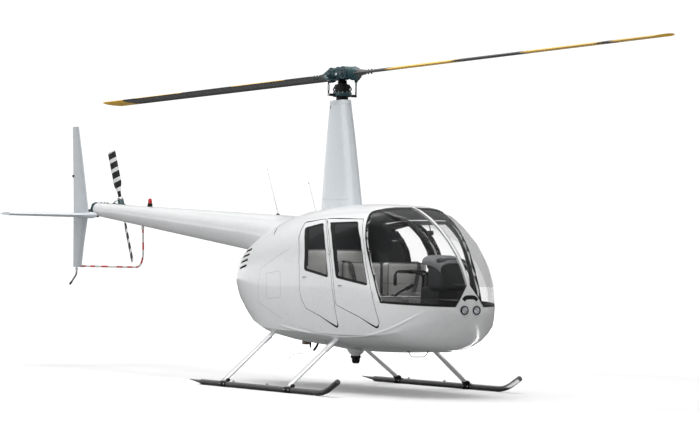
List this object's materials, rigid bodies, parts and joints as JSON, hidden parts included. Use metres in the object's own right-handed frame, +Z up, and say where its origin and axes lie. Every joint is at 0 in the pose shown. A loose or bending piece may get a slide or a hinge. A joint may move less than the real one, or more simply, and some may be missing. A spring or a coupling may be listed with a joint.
{
  "type": "light four-seat helicopter",
  "caption": "Light helicopter: bubble cabin with hinged doors, faired mast, teetering rotor, tapered boom with fins and tail rotor, skid landing gear.",
  "frame": {"origin": "ground under the middle of the overall box", "axes": "+X towards the nose, +Y to port, +Z up"},
  "size_m": [10.9933, 2.214, 3.293],
  "materials": {
    "white_paint": "gloss",
    "silver_paint": "satin",
    "black_paint": "satin",
    "hub_paint": "satin",
    "steel": "satin",
    "red_paint": "gloss",
    "clear": "clear",
    "lens": "clear",
    "red_lens": "gloss",
    "leather": "matte",
    "trim": "matte",
    "engine": "matte"
  },
  "bodies": {
    "airframe": {"cabin_tub": "white_paint", "cabin_roof": "white_paint", "engine_cowl": "white_paint", "tail_boom": "white_paint", "windshield_centre_strip": "white_paint", "windshield_port": "clear", "windshield_starboard": "clear", "landing_lamp_port": "lens", "landing_lamp_starboard": "lens", "mast_fairing": "silver_paint", "tail_gearbox": "hub_paint", "fin_upper": "silver_paint", "fin_lower": "white_paint", "stabiliser": "white_paint", "tail_skid": "steel", "tail_rotor_guard": "red_paint", "beacon": "red_lens", "whip_antenna": "steel", "ball_antenna": "steel", "belly_unit": "black_paint", "exhaust_pipe": "steel", "skid_port": "black_paint", "skid_starboard": "black_paint", "strut_front_port": "white_paint", "strut_front_starboard": "white_paint", "strut_rear_port": "white_paint", "strut_rear_starboard": "white_paint", "seat_base_front": "trim", "seat_base_rear": "trim", "cushion_front_port": "leather", "cushion_front_starboard": "leather", "cushion_rear_port": "leather", "cushion_rear_starboard": "leather", "seat_back_front_port": "leather", "seat_back_front_starboard": "leather", "seat_back_rear_port": "leather", "seat_back_rear_starboard": "leather", "instrument_console": "trim", "cyclic_stick": "steel", "engine": "engine", "swashplate_fixed": "hub_paint"},
    "rotor_mast": {"rotor_mast": "hub_paint"},
    "main_rotor": {"rotor_hub": "hub_paint", "rotor_blade_a": "black_paint", "rotor_blade_b": "black_paint"},
    "tail_rotor": {"tail_rotor_hub": "hub_paint", "tail_rotor_blade_a": "white_paint", "tail_rotor_blade_b": "white_paint"},
    "door_front_port": {"door_front_port": "white_paint", "door_front_port_window": "clear"},
    "door_front_starboard": {"door_front_starboard": "white_paint", "door_front_starboard_window": "clear"},
    "door_rear_port": {"door_rear_port": "white_paint", "door_rear_port_window": "clear"},
    "door_rear_starboard": {"door_rear_starboard": "white_paint", "door_rear_starboard_window": "clear"}
  },
  "joints": [
    {"name": "main_rotor_spin", "type": "hinge", "parent": "airframe", "child": "rotor_mast", "pos_m": [0.4648, 0.005, 3.213], "axis": [0, 0, 1], "continuous": true},
    {"name": "rotor_teeter", "type": "hinge", "parent": "rotor_mast", "child": "main_rotor", "pos_m": [0.4648, 0.005, 3.213], "axis": [-0.0227, 0.9997, 0], "range_deg": [-4, 4]},
    {"name": "tail_rotor_spin", "type": "hinge", "parent": "airframe", "child": "tail_rotor", "pos_m": [-5.0852, 0.376, 1.94], "axis": [0, 1, 0], "continuous": true},
    {"name": "door_front_port_hinge", "type": "hinge", "parent": "airframe", "child": "door_front_port", "pos_m": [2.0058, 0.6352, 0.98], "axis": [0.3372, 0.0229, -0.9411], "range_deg": [0, 88]},
    {"name": "door_front_starboard_hinge", "type": "hinge", "parent": "airframe", "child": "door_front_starboard", "pos_m": [2.0058, -0.6252, 0.98], "axis": [-0.3372, 0.0229, 0.9411], "range_deg": [0, 88]},
    {"name": "door_rear_port_hinge", "type": "hinge", "parent": "airframe", "child": "door_rear_port", "pos_m": [1.3638, 0.651, 0.88], "axis": [0.2425, 0.0252, -0.9698], "range_deg": [0, 78]},
    {"name": "door_rear_starboard_hinge", "type": "hinge", "parent": "airframe", "child": "door_rear_starboard", "pos_m": [1.3638, -0.641, 0.88], "axis": [-0.2425, 0.0252, 0.9698], "range_deg": [0, 78]}
  ],
  "couplings": [
    {"joint": "tail_rotor_spin", "follows": "main_rotor_spin", "ratio": -5.949}
  ]
}
